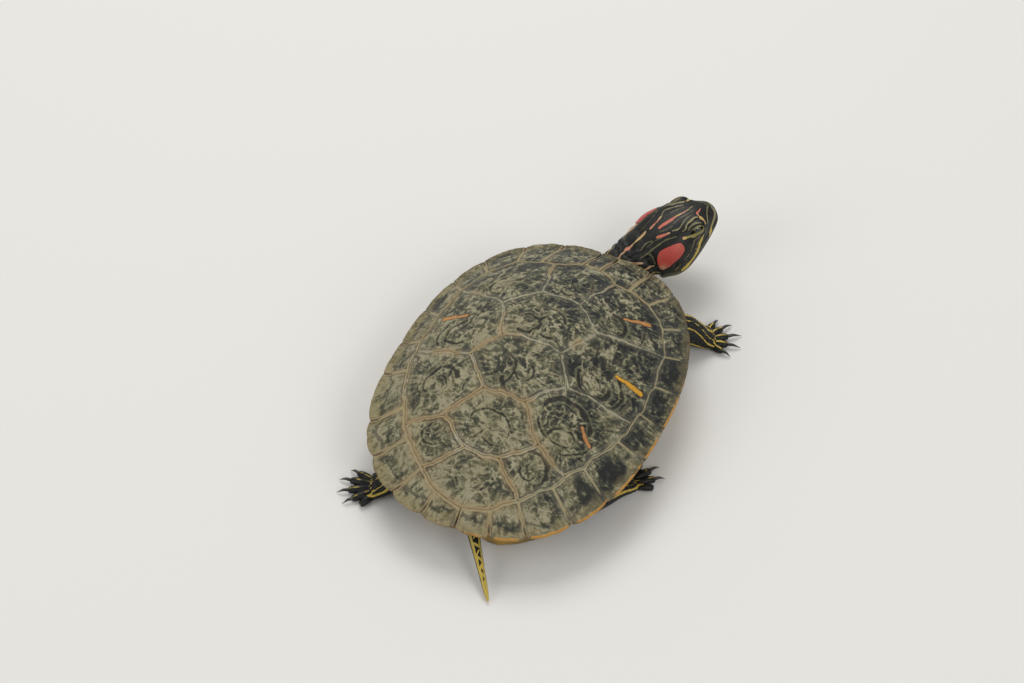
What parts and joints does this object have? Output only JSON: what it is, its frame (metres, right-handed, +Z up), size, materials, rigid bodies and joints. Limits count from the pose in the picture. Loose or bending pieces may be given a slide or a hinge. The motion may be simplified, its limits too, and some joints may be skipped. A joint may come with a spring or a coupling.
{
  "type": "red-eared slider turtle, life-size still model",
  "caption": "Life-size still model of a red-eared slider turtle, standing with its shell on the ground and its head turned aside and raised.",
  "frame": {"origin": "on the ground under the middle of the shell, at the flat underside of the plastron", "axes": "+Y towards the tail, so the turtle faces -Y, +X towards the turtle's left, +Z up"},
  "size_m": [0.162, 0.2842, 0.0712],
  "materials": {
    "scute": "wet horn scutes, near-black olive with khaki mottling and fine growth rings",
    "margin": "wet horn, dark olive with an orange-yellow line along the rim",
    "plastron": "yellow horn with dark blotches",
    "skin": "wet scaly skin, near-black with yellow and orange stripes and a red patch behind each eye",
    "eye": "wet glossy eye, olive-green iris with a dark bar",
    "claw": "smooth dark horn"
  },
  "bodies": {
    "root": {"nuchal": "margin", "vertebral_1": "scute", "vertebral_2": "scute", "vertebral_3": "scute", "vertebral_4": "scute", "vertebral_5": "scute", "costal_left_1": "scute", "costal_left_2": "scute", "costal_left_3": "scute", "costal_left_4": "scute", "costal_right_1": "scute", "costal_right_2": "scute", "costal_right_3": "scute", "costal_right_4": "scute", "marginals_left": "margin", "marginals_right": "margin", "plastron": "plastron", "trunk": "skin", "neck": "skin", "head": "skin", "lower_jaw": "skin", "eye_left": "eye", "eye_right": "eye", "tail_root": "skin", "tail_tip": "skin", "fore_right_upper": "skin", "fore_right_lower": "skin", "fore_right_foot": "skin", "fore_right_claw_1": "claw", "fore_right_claw_2": "claw", "fore_right_claw_3": "claw", "fore_right_claw_4": "claw", "fore_right_claw_5": "claw", "fore_left_upper": "skin", "fore_left_lower": "skin", "fore_left_foot": "skin", "fore_left_claw_1": "claw", "fore_left_claw_2": "claw", "fore_left_claw_3": "claw", "fore_left_claw_4": "claw", "fore_left_claw_5": "claw", "hind_right_upper": "skin", "hind_right_lower": "skin", "hind_right_foot": "skin", "hind_right_claw_1": "claw", "hind_right_claw_2": "claw", "hind_right_claw_3": "claw", "hind_right_claw_4": "claw", "hind_left_upper": "skin", "hind_left_lower": "skin", "hind_left_foot": "skin", "hind_left_claw_1": "claw", "hind_left_claw_2": "claw", "hind_left_claw_3": "claw", "hind_left_claw_4": "claw"}
  },
  "joints": []
}
